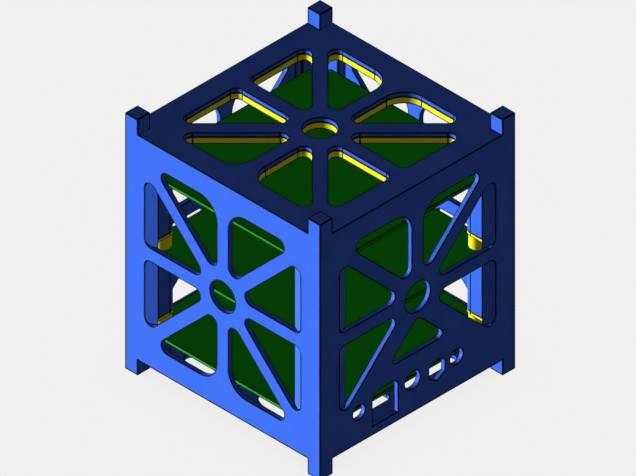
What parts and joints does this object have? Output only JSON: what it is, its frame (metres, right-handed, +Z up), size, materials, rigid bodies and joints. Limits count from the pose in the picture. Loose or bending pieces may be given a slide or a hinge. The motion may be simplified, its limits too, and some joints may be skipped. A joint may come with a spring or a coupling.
{
  "type": "cube satellite",
  "caption": "Open cube satellite structure: windowed blue skins between square corner rails, round a stack of green boards on yellow posts.",
  "frame": {"origin": "midway between the lower rail ends, on the surface that they stand on", "axes": "+Z up along the rails, -Y out of the front panel, +X out of the panel with the ports"},
  "size_m": [0.1, 0.1, 0.1135],
  "materials": {
    "blue_metal": "satin blue coat on aluminium",
    "yellow_metal": "satin yellow coat on aluminium",
    "board_green": "green solder mask on glass-fibre laminate"
  },
  "bodies": {
    "root": {"rail_front_left": "blue_metal", "rail_front_right": "blue_metal", "rail_back_left": "blue_metal", "rail_back_right": "blue_metal", "panel_front": "blue_metal", "panel_right": "blue_metal", "panel_back": "blue_metal", "panel_left": "blue_metal", "plate_bottom": "blue_metal", "plate_top": "blue_metal", "frame_plate": "yellow_metal", "board_1": "board_green", "board_2": "board_green", "board_3": "board_green", "bracket_floor_front_left": "blue_metal", "bracket_floor_front_right": "blue_metal", "bracket_floor_back_left": "blue_metal", "bracket_floor_back_right": "blue_metal", "bracket_lower_front_left": "blue_metal", "bracket_lower_front_right": "blue_metal", "bracket_lower_back_left": "blue_metal", "bracket_lower_back_right": "blue_metal", "bracket_upper_front_left": "blue_metal", "bracket_upper_front_right": "blue_metal", "bracket_upper_back_left": "blue_metal", "bracket_upper_back_right": "blue_metal", "seat_lower_front_left": "yellow_metal", "seat_lower_front_right": "yellow_metal", "seat_lower_back_left": "yellow_metal", "seat_lower_back_right": "yellow_metal", "seat_upper_front_left": "yellow_metal", "seat_upper_front_right": "yellow_metal", "seat_upper_back_left": "yellow_metal", "seat_upper_back_right": "yellow_metal"}
  },
  "joints": []
}
